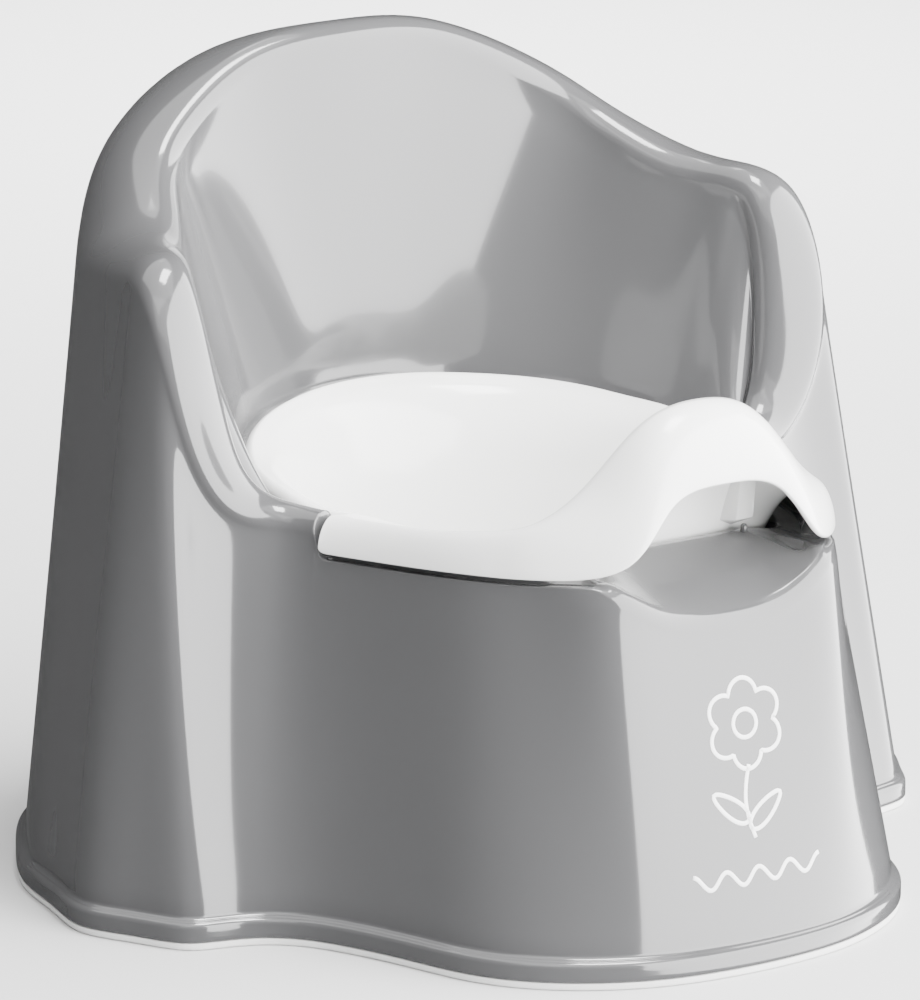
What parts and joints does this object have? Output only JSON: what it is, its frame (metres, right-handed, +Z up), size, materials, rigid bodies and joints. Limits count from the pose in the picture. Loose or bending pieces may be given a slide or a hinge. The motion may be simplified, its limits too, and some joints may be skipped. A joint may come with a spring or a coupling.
{
  "type": "potty training chair",
  "caption": "Toddler's potty chair: a one-piece moulded seat with a high back and arms, and a lift-out potty with a raised splash guard.",
  "frame": {"origin": "on the floor, at the middle of the base's outline", "axes": "+Z up; the chair's front, with the splash guard, faces -Y; x = 0 is the plane of symmetry"},
  "size_m": [0.394, 0.354, 0.3225],
  "materials": {
    "chair_grey": "gloss",
    "potty_white": "gloss",
    "strip_white": "matt"
  },
  "bodies": {
    "chair": {"chair_shell": "chair_grey", "grip_strip": "strip_white"},
    "potty": {"inner_potty": "potty_white"}
  },
  "joints": [
    {"name": "inner_potty_lift", "type": "slide", "parent": "chair", "child": "potty", "axis": [0, 0, 1], "range_m": [0, 0.29]}
  ]
}
